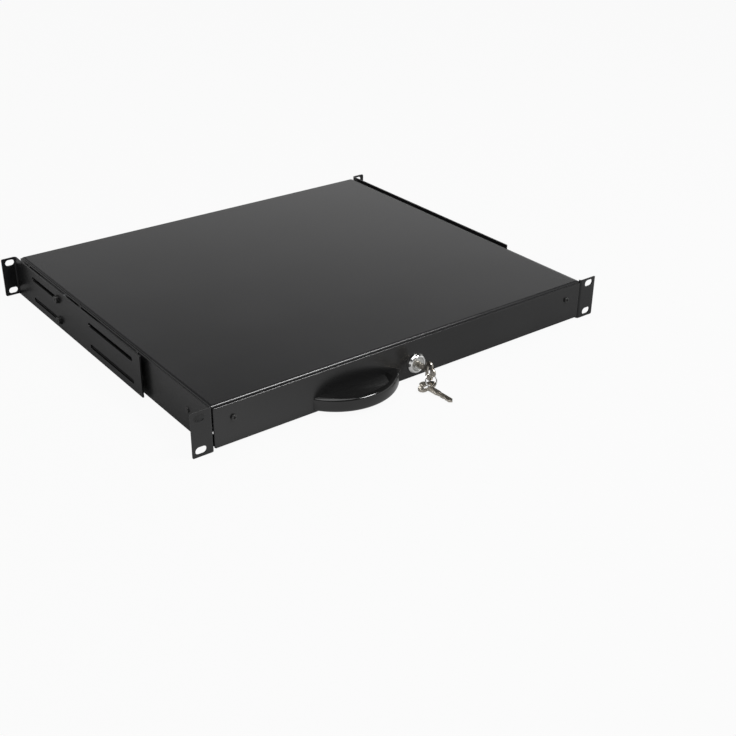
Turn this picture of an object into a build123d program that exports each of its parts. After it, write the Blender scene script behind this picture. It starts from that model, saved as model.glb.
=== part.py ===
from build123d import *
import os
from math import cos, radians, sin

# A keyboard drawer for a 19-inch rack, one rack unit high, in millimetres.
# X runs along the front, Y to the rear, Z up. The origin is the centre of the front ears' hole pattern,
# on the face of the ears that lies against the rack posts. The drawer is shut and unlocked.

# Rack panel
PANEL_WIDTH = 482.6
PANEL_HEIGHT = 43.6
EAR_WIDTH = 20.0
EAR_HOLE_INSET = 8.74
EAR_HOLE_SPAN_Z = 31.75
FRONT_EAR_SLOT = (11.2, 7.3)
REAR_EAR_SLOT = (10.0, 6.8)
EAR_CORNER = 1.5

# Case of sheet steel
CASE_REAR = 397.5
SIDE_SHEET = 1.5
SIDE_BEND = 1.1
FOLD_ROUND = 1.35
FOOT_FLANGE = 12.0
FOOT_FRONT = 6.0
COVER_SHEET = 1.2
COVER_DROP = 1.1
COVER_ABOVE_SIDE = 1.4
COVER_FRONT = 1.2
COVER_BEND = 2.4
COVER_SIDE_GAP = 0.1
COVER_LIP_GAP = 0.5
CROSSMEMBER_DEPTH = 25.5
CROSSMEMBER_UPSTAND = 9.0

# Rivets along X, placed from the case's rear, and one pair of the cover's from the bracket screws
RIVET_RADIUS = 1.6
RIVET_HEAD_RADIUS = 2.9
RIVET_HEAD = 1.1
RIVET_HEAD_ROUND = 0.9
RIVET_TAIL = 0.6
RIVET_TAIL_RADIUS = 2.1
COVER_RIVET_INSETS = (267.5, 22.5)
COVER_RIVET_SCREW_DISTANCE = 42.75
CROSSMEMBER_RIVET_INSETS = (17.5, 7.5)
RAIL_RIVET_INSET = 25.0

# Rear brackets, their slots placed from the bracket's front edge
BRACKET_STANDOFF = 3.7
BRACKET_SHEET = 1.5
BRACKET_EDGE_GAP = 0.6
BRACKET_LENGTH = 284.6
BRACKET_EAR_GAP = 2.6
BRACKET_BEND = 1.5
BRACKET_SLOT_Z = 11.75
BRACKET_SLOT_WIDTH = 4.5
LONG_SLOT_ENDS = (15.5, 106.5)
SHORT_SLOT_ENDS = (175.0, 241.0)
STANDOFF_RADIUS = 4.0
STANDOFF_SHANK_RADIUS = 2.9
WASHER_RADIUS = 4.5
WASHER_SHEET = 0.8

# Machine screws
M3_RADIUS = 1.5
M3_HEAD_RADIUS = 2.8
M3_HEAD = 1.9
M3_NUT_FLATS = 5.5
M3_NUT = 2.4
M4_RADIUS = 2.0
M4_HEAD_RADIUS = 4.0
M4_HEAD = 2.4
HEAD_ROUND = 0.85
THREAD_PAST_NUT = 0.6
RECESS_RADIUS = 0.55
RECESS_ARM = 1.5
RECESS_ARM_HALF = 0.35
RECESS_DEPTH = 1.0

# Ball-bearing slides: nested channels, measured inwards from the case wall
SLIDE_THICKNESS = 12.7
RAIL_SHEET = 1.0
RAIL_FRONT = 15.0
OUTER_RAIL_REAR = 365.0
OUTER_RAIL_HALF = 13.5
INNER_RAIL_SHORTER = 7.5
MIDDLE_FLANGE_GAP = 0.7
OUTER_FLANGE_STEP = 0.5
BALL_RADIUS = 1.5
BALL_SINK = 0.15
GROOVE_CLEARANCE = 0.12
OUTER_BALL_DEPTH = 6.0
INNER_BALL_DEPTH = 7.2
BALLS_IN_ROW = 6
CAGE_SHEET = 0.5
CAGE_GAP = 0.25
CAGE_EDGE = 2.0
CAGE_END_GAP = 2.5
BUMPER_LENGTH = 5.0
BUMPER_GAP = 0.5
BUMPER_CHAMFER = 1.0
TRAVEL = 350.0

# Tray
TRAY_SHEET = 1.2
TRAY_LIFT = 1.3
TRAY_WALL_TOP = 12.0
TRAY_REAR = 345.0
TRAY_BEND = 1.6
CABLE_NOTCH_MARGIN = 57.1
CABLE_NOTCH_SILL = 8.0
TRAY_SCREW_FRONT_INSET = 30.0
TRAY_SCREW_REAR_INSET = 20.0
TRAY_SCREW_GRIP = 1.5

# Fascia
FASCIA_SHEET = 1.5
FASCIA_SIDE_GAP = 0.4
FASCIA_TOP_GAP = 0.3
FASCIA_FOOT_GAP = 2.0
FASCIA_CORNER = 1.6
FASCIA_EDGE = 0.9
FASCIA_SCREW_INSET = 7.1
FASCIA_SCREW_Z = 5.2

# Crescent handle
HANDLE_X = -69.0
HANDLE_CHORD = 98.0
HANDLE_REACH = 26.0
HANDLE_ABOVE_FOOT = 1.8
HANDLE_HEIGHT = 13.5
HANDLE_RIM = 5.0
DISH_LENGTH = 68.0
DISH_FLOOR_LENGTH = 51.0
DISH_DEPTH_BACK = 1.5
DISH_DEPTH_FRONT = 5.5
HANDLE_WEB = 2.0
HANDLE_ROUND = 2.4
HANDLE_SCREW_INSET = 15.0
HANDLE_SCREW_REACH = 6.5
HANDLE_SCREW_END_GAP = 0.5
HANDLE_BOSS_RADIUS = 4.0
HANDLE_BOSS_END = 1.0

# Cam lock
LOCK_Z = -5.8
LOCK_BODY_RADIUS = 8.0
LOCK_BODY_END = 18.0
LOCK_WALL = 2.4
BEZEL_OVERHANG = 2.0
BEZEL_TAPER = 1.8
BEZEL_RIM = 1.4
BEZEL_PROUD = 4.0
PLUG_CLEARANCE = 0.08
PLUG_FLANGE_STEP = 1.0
PLUG_FLANGE = 1.5
PLUG_TAIL = 7.0
LOCK_NUT_LAND = 2.5
LOCK_NUT = 3.5
CAM_SHEET = 2.0
CAM_GAP = 0.2
CAM_WIDTH = 11.0
CAM_TIP_GAP = 1.3
CAM_SCREW_REACH = 4.0
CAM_SCREW_END_GAP = 0.5
CAM_SCREW_HEAD_RADIUS = 4.8

# Keys: both alike, drawn with the shoulder at 0, the bow outwards and the blade inwards
KEY_SHEET = 1.9
KEY_BLADE = 18.0
KEY_BLADE_WIDTH = 4.8
KEY_NECK_WIDTH = 6.0
KEY_HOLE_AT = 15.4
KEY_HOLE_LENGTH = 9.0
KEY_HOLE_WIDTH = 4.0
KEY_BODY_RADIUS = 5.7
KEY_LOBE_RADIUS = 4.6
KEY_LOBE_OFFSET = 5.4
KEY_TIP_LOBE_AT = 19.3
KEY_CUT_DEPTHS = (0.9, 0.4, 1.1, 0.6)
KEY_SHOULDER_GAP = 0.3
KEYWAY_CLEARANCE = 0.12
KEYWAY_END_GAP = 0.5

# Key ring and the spare key that lies on it
RING_RADIUS = 6.2
RING_WIRE_RADIUS = 0.7
RING_HOLE_GAP = 0.15
RING_LEAN = 30.0
SPARE_WEB_DROP = 3.9
SPARE_EDGE_X = 3.5
SPARE_YAW = 4.0
SPARE_PITCH = 2.5
SPARE_ROLL = 5.0

# Clearances
HOLE_CLEARANCE = 0.1
SCREW_HOLE_CLEARANCE = 0.2
HEAD_GAP = 0.1
TOUCH = 0.02

# Case, worked out
PANEL_BOTTOM = -PANEL_HEIGHT / 2
PANEL_TOP = PANEL_HEIGHT / 2
CASE_OUT = PANEL_WIDTH / 2 - EAR_WIDTH
CASE_IN = CASE_OUT - SIDE_SHEET
EAR_FRONT = -SIDE_SHEET
COVER_TOP = PANEL_TOP - COVER_DROP
COVER_UNDERSIDE = COVER_TOP - COVER_SHEET
COVER_LIP_BOTTOM = OUTER_RAIL_HALF + COVER_LIP_GAP
COVER_SIDE_OUT = CASE_IN - COVER_SIDE_GAP
COVER_SIDE_IN = COVER_SIDE_OUT - COVER_SHEET
SIDE_TOP = COVER_TOP - COVER_ABOVE_SIDE
CROSSMEMBER_BOTTOM = PANEL_BOTTOM + SIDE_SHEET
CROSSMEMBER_SIDE_IN = CASE_IN - SIDE_SHEET
CROSSMEMBER_RIVET_Z = CROSSMEMBER_BOTTOM + CROSSMEMBER_UPSTAND / 2

# Rear brackets, worked out
BRACKET_IN = CASE_OUT + BRACKET_STANDOFF
BRACKET_OUTSIDE = BRACKET_IN + BRACKET_SHEET
BRACKET_HALF = PANEL_HEIGHT / 2 - BRACKET_EDGE_GAP
BRACKET_EAR_FACE = CASE_REAR + BRACKET_EAR_GAP
BRACKET_FRONT = BRACKET_EAR_FACE - BRACKET_LENGTH
BRACKET_SCREW_Y = BRACKET_FRONT + SHORT_SLOT_ENDS[0] + BRACKET_SLOT_WIDTH / 2

# Cover's rivets, worked out
COVER_RIVET_Z = SIDE_TOP - HEAD_GAP - RIVET_HEAD_RADIUS
COVER_RIVET_Y = (
    *(CASE_REAR - inset for inset in COVER_RIVET_INSETS),
    BRACKET_SCREW_Y - COVER_RIVET_SCREW_DISTANCE,
)

# Slides, worked out
RACE_GAP = 2 * (BALL_RADIUS - BALL_SINK)
CAGE_ROOM = CAGE_SHEET + 2 * CAGE_GAP
MIDDLE_RAIL_HALF = OUTER_RAIL_HALF - RAIL_SHEET - RACE_GAP
INNER_RAIL_HALF = MIDDLE_RAIL_HALF - RAIL_SHEET - RACE_GAP
MIDDLE_RAIL_FROM = RAIL_SHEET + CAGE_ROOM
INNER_RAIL_FROM = MIDDLE_RAIL_FROM + RAIL_SHEET + CAGE_ROOM
MIDDLE_RAIL_TO = SLIDE_THICKNESS - RAIL_SHEET - MIDDLE_FLANGE_GAP
OUTER_RAIL_TO = MIDDLE_RAIL_TO - OUTER_FLANGE_STEP
MIDDLE_RAIL_REAR = OUTER_RAIL_REAR - BUMPER_LENGTH - BUMPER_GAP
INNER_RAIL_REAR = MIDDLE_RAIL_REAR - INNER_RAIL_SHORTER
OUTER_BALL_Z = MIDDLE_RAIL_HALF + RACE_GAP / 2
INNER_BALL_Z = INNER_RAIL_HALF + RACE_GAP / 2
CAGE_FRONT = RAIL_FRONT + TRAVEL / 4 + CAGE_END_GAP
CAGE_REAR = INNER_RAIL_REAR - TRAVEL / 4 - CAGE_END_GAP
RAIL_RIVET_Y = (
    RAIL_FRONT + RAIL_RIVET_INSET,
    (RAIL_FRONT + OUTER_RAIL_REAR) / 2,
    OUTER_RAIL_REAR - RAIL_RIVET_INSET,
)

# Tray, fascia and handle, worked out
TRAY_HALF = CASE_IN - SLIDE_THICKNESS
TRAY_BOTTOM = CROSSMEMBER_BOTTOM + TRAY_LIFT
TRAY_FLOOR = TRAY_BOTTOM + TRAY_SHEET
TRAY_SCREW_Y = (
    RAIL_FRONT + TRAY_SCREW_FRONT_INSET,
    (RAIL_FRONT + TRAY_SCREW_FRONT_INSET + TRAY_REAR - TRAY_SCREW_REAR_INSET) / 2,
    TRAY_REAR - TRAY_SCREW_REAR_INSET,
)
FASCIA_FRONT = -FASCIA_SHEET
FASCIA_HALF = CASE_IN - FASCIA_SIDE_GAP
FASCIA_TOP = COVER_UNDERSIDE - FASCIA_TOP_GAP
FASCIA_BOTTOM = PANEL_BOTTOM + FASCIA_FOOT_GAP
FASCIA_SCREW_X = TRAY_HALF - FASCIA_SCREW_INSET
HANDLE_BOTTOM = FASCIA_BOTTOM + HANDLE_ABOVE_FOOT
HANDLE_TOP = HANDLE_BOTTOM + HANDLE_HEIGHT
HANDLE_MIDDLE_Z = (HANDLE_BOTTOM + HANDLE_TOP) / 2
HANDLE_SCREW_OFFSET = HANDLE_CHORD / 2 - HANDLE_SCREW_INSET
HANDLE_BORE = HANDLE_SCREW_REACH + HANDLE_SCREW_END_GAP

# Lock and keys, worked out
LOCK_FACE = FASCIA_FRONT - BEZEL_PROUD
LOCK_BORE_RADIUS = LOCK_BODY_RADIUS - LOCK_WALL
LOCK_NUT_FLATS = 2 * (LOCK_BODY_RADIUS + LOCK_NUT_LAND)
BEZEL_RADIUS = LOCK_BODY_RADIUS + BEZEL_OVERHANG
PLUG_FLANGE_RADIUS = LOCK_BORE_RADIUS + PLUG_FLANGE_STEP
LIP_RETURN_END = LOCK_BODY_END
CAM_FRONT = LOCK_BODY_END + CAM_GAP
CAM_REAR = CAM_FRONT + CAM_SHEET
CAM_REACH = COVER_UNDERSIDE - CAM_TIP_GAP - LOCK_Z
KEY_SHOULDER = LOCK_FACE - KEY_SHOULDER_GAP
RING_TOP = (
    0.0,
    KEY_SHOULDER - KEY_HOLE_AT,
    LOCK_Z - KEY_HOLE_LENGTH / 2 + RING_WIRE_RADIUS + RING_HOLE_GAP,
)


def box(x0, x1, y0, y1, z0, z1):
    """A block between two opposite corners."""
    middle = Pos((x0 + x1) / 2, (y0 + y1) / 2, (z0 + z1) / 2)
    return middle * Box(abs(x1 - x0), abs(y1 - y0), abs(z1 - z0))


def rod(axis, centre, start, end, radius):
    """A round bar along X, Y or Z. The centre gives its other two coordinates, in X, Y, Z order."""
    middle = (start + end) / 2
    bar = Cylinder(radius, abs(end - start))
    if axis == "x":
        return Pos(middle, *centre) * Rot(0, 90, 0) * bar
    if axis == "y":
        return Pos(centre[0], middle, centre[1]) * Rot(90, 0, 0) * bar
    return Pos(*centre, middle) * bar


def slot(axis, ends, height, width, start, end):
    """A round-ended slot cut through along X or Y, between two ends and at a given Z."""
    first, last = ends[0] + width / 2, ends[1] - width / 2
    low, high = height - width / 2, height + width / 2
    bar = box(start, end, first, last, low, high) if axis == "x" else box(first, last, start, end, low, high)
    return bar + [rod(axis, (place, height), start, end, width / 2) for place in (first, last)]


def edges_at(shape, axis, **place):
    """Straight edges along an axis whose middle has the given X, Y or Z."""
    found = shape.edges().filter_by(axis)
    for name, value in place.items():
        found = [edge for edge in found if abs(getattr(edge.center(), name.upper()) - value) < TOUCH]
    return found


def mirrored(shape):
    """The same shape on the left side."""
    return mirror(shape, about=Plane.YZ)


def both_sides(solids):
    """A right-hand group of solids with its mirror images."""
    return list(solids) + [mirrored(solid) for solid in solids]


def save(name, *solids):
    """Write one node, as one solid or as a group of separate solids."""
    loose = [piece for solid in solids for piece in solid.solids()]
    shape = loose[0] if len(loose) == 1 else Compound(children=loose)
    shape.label = name
    export_step(shape, f"parts/{name}.step")


# Fasteners


def end_rim(shape, axis, outwards):
    """A round bar's outermost circle, outwards being 1 or -1 along the axis."""
    circles = shape.edges().filter_by(GeomType.CIRCLE)
    return max(circles, key=lambda edge: outwards * getattr(edge.center(), axis.upper()))


def pan_head(axis, centre, face, outwards, radius, height):
    """A pan head with a cross recess, standing on a face."""
    top = face + outwards * height
    head = rod(axis, centre, face, top, radius)
    head = fillet(end_rim(head, axis, outwards), HEAD_ROUND)
    start, end = top - outwards * RECESS_DEPTH, top + outwards
    recess = rod(axis, centre, start, end, RECESS_RADIUS)
    for first, second in ((RECESS_ARM, RECESS_ARM_HALF), (RECESS_ARM_HALF, RECESS_ARM)):
        sides = (centre[0] - first, centre[0] + first)
        heights = (centre[1] - second, centre[1] + second)
        recess += box(start, end, *sides, *heights) if axis == "x" else box(*sides, start, end, *heights)
    return head - recess


def hex_nut(centre, start, end, flats, bore):
    """A hexagon nut along Y."""
    across_corners = flats / 2 / cos(radians(30))
    prism = extrude(RegularPolygon(across_corners, 6), end - start)
    body = Pos(centre[0], end, centre[1]) * Rot(90, 0, 0) * prism
    return body - rod("y", centre, start - 1, end + 1, bore)


def rivet(y, z, tail_face, tail):
    """A rivet from outside the right-hand side panel in to a given face, with or without a tail."""
    head = rod("x", (y, z), CASE_OUT, CASE_OUT + RIVET_HEAD, RIVET_HEAD_RADIUS)
    head = fillet(end_rim(head, "x", 1), RIVET_HEAD_ROUND)
    shank = rod("x", (y, z), tail_face, CASE_OUT, RIVET_RADIUS)
    body = head + shank
    if tail:
        body += rod("x", (y, z), tail_face - tail, tail_face, RIVET_TAIL_RADIUS)
    return body


def rivet_hole(y, z, inside):
    """The hole for a rivet's shank through the side panel and what lies inside it."""
    return rod("x", (y, z), inside, CASE_OUT + 1, RIVET_RADIUS + HOLE_CLEARANCE)


def rivet_places():
    """Each rivet's Y, Z, innermost face and tail height."""
    rails = [(y, 0.0, CASE_IN - RAIL_SHEET, 0.0) for y in RAIL_RIVET_Y]
    cover = [(y, COVER_RIVET_Z, COVER_SIDE_IN, RIVET_TAIL) for y in COVER_RIVET_Y]
    crossmember = [
        (CASE_REAR - inset, CROSSMEMBER_RIVET_Z, CROSSMEMBER_SIDE_IN, RIVET_TAIL)
        for inset in CROSSMEMBER_RIVET_INSETS
    ]
    return rails + cover + crossmember


def case_rivets():
    return both_sides([rivet(*place) for place in rivet_places()])


# Case


def ear_slots(size, y0, y1):
    """The two round-ended holes of a right-hand ear, of a given length and height."""
    length, height = size
    middle = PANEL_WIDTH / 2 - EAR_HOLE_INSET
    ends = (middle - length / 2, middle + length / 2)
    places = (-EAR_HOLE_SPAN_Z / 2, EAR_HOLE_SPAN_Z / 2)
    return [slot("y", ends, place, height, y0, y1) for place in places]


def round_ear(shape, y, half_height):
    """Round the outer corners of a right-hand ear whose middle lies at a given Y."""
    corners = edges_at(shape, Axis.Y, x=PANEL_WIDTH / 2, y=y)
    return fillet([edge for edge in corners if abs(abs(edge.center().Z) - half_height) < TOUCH], EAR_CORNER)


def side_panel():
    """The right-hand side of the case, with its ear and foot flange bent from one sheet."""
    wall = box(CASE_IN, CASE_OUT, EAR_FRONT, CASE_REAR, PANEL_BOTTOM, PANEL_TOP)
    ear = box(CASE_IN, PANEL_WIDTH / 2, EAR_FRONT, 0, PANEL_BOTTOM, PANEL_TOP)
    panel = wall + ear
    panel = fillet(edges_at(panel, Axis.Z, x=CASE_IN, y=EAR_FRONT), SIDE_BEND + SIDE_SHEET)
    panel = fillet(edges_at(panel, Axis.Z, x=CASE_OUT, y=0), SIDE_BEND)
    panel -= box(CASE_IN - 1, CASE_OUT + TOUCH, SIDE_BEND, CASE_REAR + 1, SIDE_TOP, PANEL_TOP + 1)
    panel = round_ear(panel, EAR_FRONT / 2, PANEL_HEIGHT / 2)
    panel += box(CASE_IN - FOOT_FLANGE, CASE_IN, FOOT_FRONT, CASE_REAR, PANEL_BOTTOM, CROSSMEMBER_BOTTOM)
    panel = fillet(edges_at(panel, Axis.Y, x=CASE_OUT, z=PANEL_BOTTOM), FOLD_ROUND)
    for hole in ear_slots(FRONT_EAR_SLOT, EAR_FRONT - 1, 1):
        panel -= hole
    for y, z, inside, _ in rivet_places():
        panel -= rivet_hole(y, z, inside)
    for z in (-BRACKET_SLOT_Z, BRACKET_SLOT_Z):
        panel -= rod(
            "x", (BRACKET_SCREW_Y, z), CASE_IN - 1, CASE_OUT + 1, STANDOFF_SHANK_RADIUS + HOLE_CLEARANCE
        )
    return panel


def top_cover():
    """A sheet with side flanges, a rear lip and a front lip that turns back under the edge."""
    lid = box(-COVER_SIDE_OUT, COVER_SIDE_OUT, COVER_FRONT, CASE_REAR, COVER_LIP_BOTTOM, COVER_TOP)
    bends = edges_at(lid, Axis.X, z=COVER_TOP) + edges_at(lid, Axis.Y, z=COVER_TOP)
    lid = fillet(bends, COVER_BEND)
    hollow = box(
        -COVER_SIDE_IN,
        COVER_SIDE_IN,
        COVER_FRONT + COVER_SHEET,
        CASE_REAR - COVER_SHEET,
        COVER_LIP_BOTTOM - 1,
        COVER_UNDERSIDE,
    )
    lid -= hollow
    lid += box(
        -COVER_SIDE_IN,
        COVER_SIDE_IN,
        COVER_FRONT + COVER_SHEET,
        LIP_RETURN_END,
        COVER_LIP_BOTTOM,
        COVER_LIP_BOTTOM + COVER_SHEET,
    )
    for y in COVER_RIVET_Y:
        hole = rivet_hole(y, COVER_RIVET_Z, COVER_SIDE_IN - 1)
        lid -= hole
        lid -= mirrored(hole)
    return lid


def rear_crossmember():
    """A channel across the bottom of the case's rear, riveted between the side panels."""
    front = CASE_REAR - CROSSMEMBER_DEPTH
    bottom, top = CROSSMEMBER_BOTTOM, CROSSMEMBER_BOTTOM + CROSSMEMBER_UPSTAND
    channel = box(-CASE_IN, CASE_IN, front, CASE_REAR, bottom, top)
    channel -= box(
        -CROSSMEMBER_SIDE_IN,
        CROSSMEMBER_SIDE_IN,
        front - 1,
        CASE_REAR - SIDE_SHEET,
        bottom + SIDE_SHEET,
        top + 1,
    )
    channel = fillet(edges_at(channel, Axis.X, y=CASE_REAR, z=bottom), FOLD_ROUND)
    for inset in CROSSMEMBER_RIVET_INSETS:
        hole = rivet_hole(CASE_REAR - inset, CROSSMEMBER_RIVET_Z, CROSSMEMBER_SIDE_IN - 1)
        channel -= hole
        channel -= mirrored(hole)
    return channel


# Rear brackets and what holds them


def rear_bracket():
    """The right-hand bracket: a slotted plate outside the case and an ear for the rear rack post."""
    rear = BRACKET_EAR_FACE + BRACKET_SHEET
    plate = box(BRACKET_IN, BRACKET_OUTSIDE, BRACKET_FRONT, rear, -BRACKET_HALF, BRACKET_HALF)
    ear = box(BRACKET_IN, PANEL_WIDTH / 2, BRACKET_EAR_FACE, rear, -BRACKET_HALF, BRACKET_HALF)
    bracket = plate + ear
    bracket = fillet(edges_at(bracket, Axis.Z, x=BRACKET_OUTSIDE, y=BRACKET_EAR_FACE), BRACKET_BEND)
    bracket = fillet(edges_at(bracket, Axis.Z, x=BRACKET_IN, y=rear), BRACKET_BEND + BRACKET_SHEET)
    bracket = round_ear(bracket, (BRACKET_EAR_FACE + rear) / 2, BRACKET_HALF)
    for hole in ear_slots(REAR_EAR_SLOT, BRACKET_EAR_FACE - 1, rear + 1):
        bracket -= hole
    for z in (-BRACKET_SLOT_Z, BRACKET_SLOT_Z):
        for start, end in (LONG_SLOT_ENDS, SHORT_SLOT_ENDS):
            ends = (BRACKET_FRONT + start, BRACKET_FRONT + end)
            bracket -= slot("x", ends, z, BRACKET_SLOT_WIDTH, BRACKET_IN - 1, BRACKET_OUTSIDE + 1)
    return bracket


def at_bracket_screws(make):
    """The same piece at each of the four bracket screws."""
    return both_sides([make((BRACKET_SCREW_Y, z)) for z in (-BRACKET_SLOT_Z, BRACKET_SLOT_Z)])


def standoff(centre):
    body = rod("x", centre, CASE_OUT, BRACKET_IN - HEAD_GAP, STANDOFF_RADIUS)
    body += rod("x", centre, CASE_IN, CASE_OUT, STANDOFF_SHANK_RADIUS)
    return body - rod("x", centre, CASE_IN - 1, BRACKET_IN, M4_RADIUS + TOUCH)


def bracket_washer(centre):
    face = BRACKET_OUTSIDE + HEAD_GAP
    ring = rod("x", centre, face, face + WASHER_SHEET, WASHER_RADIUS)
    return ring - rod("x", centre, face - 1, face + WASHER_SHEET + 1, M4_RADIUS + SCREW_HOLE_CLEARANCE)


def bracket_screw(centre):
    face = BRACKET_OUTSIDE + HEAD_GAP + WASHER_SHEET
    shank = rod("x", centre, CASE_IN, face, M4_RADIUS)
    return pan_head("x", centre, face, 1, M4_HEAD_RADIUS, M4_HEAD) + shank


# Slides


def channel_rail(web, flange_end, half, y0, y1):
    """A right-hand rail: web (from, to) and flange end measured inwards from the case wall."""
    near, far = min(web[0], flange_end), max(web[1], flange_end)
    rail = box(CASE_IN - far, CASE_IN - near, y0, y1, -half, half)
    hollow = (web[1], far + 1) if flange_end > web[1] else (near - 1, web[0])
    return rail - box(
        CASE_IN - hollow[1], CASE_IN - hollow[0], y0 - 1, y1 + 1, RAIL_SHEET - half, half - RAIL_SHEET
    )


def ball_groove(depth, height, y0, y1):
    """The race for a row of balls, above and below the middle."""
    radius = BALL_RADIUS + GROOVE_CLEARANCE
    return [rod("y", (CASE_IN - depth, z), y0 - 1, y1 + 1, radius) for z in (-height, height)]


def outer_rail():
    rail = channel_rail((0, RAIL_SHEET), OUTER_RAIL_TO, OUTER_RAIL_HALF, RAIL_FRONT, OUTER_RAIL_REAR)
    for groove in ball_groove(OUTER_BALL_DEPTH, OUTER_BALL_Z, RAIL_FRONT, OUTER_RAIL_REAR):
        rail -= groove
    for y in RAIL_RIVET_Y:
        rail -= rivet_hole(y, 0.0, CASE_IN - RAIL_SHEET - 1)
    return rail


def middle_rail():
    web = (MIDDLE_RAIL_FROM, MIDDLE_RAIL_FROM + RAIL_SHEET)
    rail = channel_rail(web, MIDDLE_RAIL_TO, MIDDLE_RAIL_HALF, RAIL_FRONT, MIDDLE_RAIL_REAR)
    for depth, height in ((OUTER_BALL_DEPTH, OUTER_BALL_Z), (INNER_BALL_DEPTH, INNER_BALL_Z)):
        for groove in ball_groove(depth, height, RAIL_FRONT, MIDDLE_RAIL_REAR):
            rail -= groove
    return rail


def inner_rail():
    web = (SLIDE_THICKNESS - RAIL_SHEET, SLIDE_THICKNESS)
    rail = channel_rail(web, INNER_RAIL_FROM, INNER_RAIL_HALF, RAIL_FRONT, INNER_RAIL_REAR)
    for groove in ball_groove(INNER_BALL_DEPTH, INNER_BALL_Z, RAIL_FRONT, INNER_RAIL_REAR):
        rail -= groove
    for y in TRAY_SCREW_Y:
        rail -= rod("x", (y, 0.0), TRAY_HALF - 1, CASE_IN, M4_RADIUS + SCREW_HOLE_CLEARANCE)
    return rail


def ball_places(depth, height):
    """The centres of one cage's balls."""
    pitch = (CAGE_REAR - CAGE_FRONT) / BALLS_IN_ROW
    ys = [CAGE_FRONT + pitch * (index + 0.5) for index in range(BALLS_IN_ROW)]
    return [(CASE_IN - depth, y, z) for y in ys for z in (-height, height)]


def balls(depth, height):
    return [Pos(*place) * Sphere(BALL_RADIUS) for place in ball_places(depth, height)]


def ball_cage(room_from, depth, height):
    """A folded strip with a round pocket for each ball, in the room between two rails' webs."""
    web_from = room_from + CAGE_GAP
    half = height + CAGE_SHEET / 2
    flange_end = depth + BALL_RADIUS + CAGE_EDGE
    cage = box(CASE_IN - flange_end, CASE_IN - web_from, CAGE_FRONT, CAGE_REAR, -half, half)
    cage -= box(
        CASE_IN - flange_end - 1,
        CASE_IN - web_from - CAGE_SHEET,
        CAGE_FRONT - 1,
        CAGE_REAR + 1,
        CAGE_SHEET - half,
        half - CAGE_SHEET,
    )
    for x, y, z in ball_places(depth, height):
        cage -= rod("z", (x, y), z - 1, z + 1, BALL_RADIUS + HOLE_CLEARANCE)
    return cage


def rail_bumper():
    """A rubber block that the middle rail meets when the drawer is shut."""
    inside = OUTER_RAIL_HALF - RAIL_SHEET
    block = box(
        CASE_IN - OUTER_RAIL_TO,
        CASE_IN - RAIL_SHEET,
        OUTER_RAIL_REAR - BUMPER_LENGTH,
        OUTER_RAIL_REAR,
        -inside,
        inside,
    )
    return chamfer(edges_at(block, Axis.Z, y=OUTER_RAIL_REAR - BUMPER_LENGTH), BUMPER_CHAMFER)


def inner_rail_screw(y):
    face = TRAY_HALF - TRAY_SHEET
    shank = rod("x", (y, 0.0), face, TRAY_HALF + RAIL_SHEET + TRAY_SCREW_GRIP, M4_RADIUS)
    return pan_head("x", (y, 0.0), face, -1, M4_HEAD_RADIUS, M4_HEAD) + shank


# Tray and fascia


def handle_screw_places():
    return [(HANDLE_X + side * HANDLE_SCREW_OFFSET, HANDLE_MIDDLE_Z) for side in (-1, 1)]


def front_holes(y0, y1):
    """What passes through the fascia and the tray's front wall alike."""
    holes = [rod("y", (0.0, LOCK_Z), y0, y1, LOCK_BODY_RADIUS + HOLE_CLEARANCE)]
    for x in (-FASCIA_SCREW_X, FASCIA_SCREW_X):
        holes.append(rod("y", (x, FASCIA_SCREW_Z), y0, y1, M3_RADIUS + SCREW_HOLE_CLEARANCE))
    for place in handle_screw_places():
        holes.append(rod("y", place, y0, y1, M4_RADIUS + SCREW_HOLE_CLEARANCE))
    return holes


def tray():
    """A folded pan, open at the top, with a notch for the cable in its rear wall."""
    pan = box(-TRAY_HALF, TRAY_HALF, 0, TRAY_REAR, TRAY_BOTTOM, TRAY_WALL_TOP)
    pan = fillet(edges_at(pan, Axis.X, z=TRAY_BOTTOM) + edges_at(pan, Axis.Y, z=TRAY_BOTTOM), TRAY_BEND)
    pan -= box(
        TRAY_SHEET - TRAY_HALF,
        TRAY_HALF - TRAY_SHEET,
        TRAY_SHEET,
        TRAY_REAR - TRAY_SHEET,
        TRAY_FLOOR,
        TRAY_WALL_TOP + 1,
    )
    pan -= box(
        CABLE_NOTCH_MARGIN - TRAY_HALF,
        TRAY_HALF - CABLE_NOTCH_MARGIN,
        TRAY_REAR - TRAY_SHEET - 1,
        TRAY_REAR + 1,
        TRAY_BOTTOM + CABLE_NOTCH_SILL,
        TRAY_WALL_TOP + 1,
    )
    for hole in front_holes(-1, TRAY_SHEET + 1):
        pan -= hole
    for y in TRAY_SCREW_Y:
        hole = rod("x", (y, 0.0), TRAY_HALF - TRAY_SHEET - 1, TRAY_HALF + 1, M4_RADIUS + SCREW_HOLE_CLEARANCE)
        pan -= hole
        pan -= mirrored(hole)
    return pan


def fascia():
    plate = box(-FASCIA_HALF, FASCIA_HALF, FASCIA_FRONT, 0, FASCIA_BOTTOM, FASCIA_TOP)
    plate = fillet(plate.edges().filter_by(Axis.Y), FASCIA_CORNER)
    plate = fillet(plate.faces().sort_by(Axis.Y)[0].edges(), FASCIA_EDGE)
    for hole in front_holes(FASCIA_FRONT - 1, 1):
        plate -= hole
    return plate


def fascia_screw(x):
    place = (x, FASCIA_SCREW_Z)
    end = TRAY_SHEET + M3_NUT + THREAD_PAST_NUT
    shank = rod("y", place, FASCIA_FRONT, end, M3_RADIUS)
    return pan_head("y", place, FASCIA_FRONT, -1, M3_HEAD_RADIUS, M3_HEAD) + shank


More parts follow.
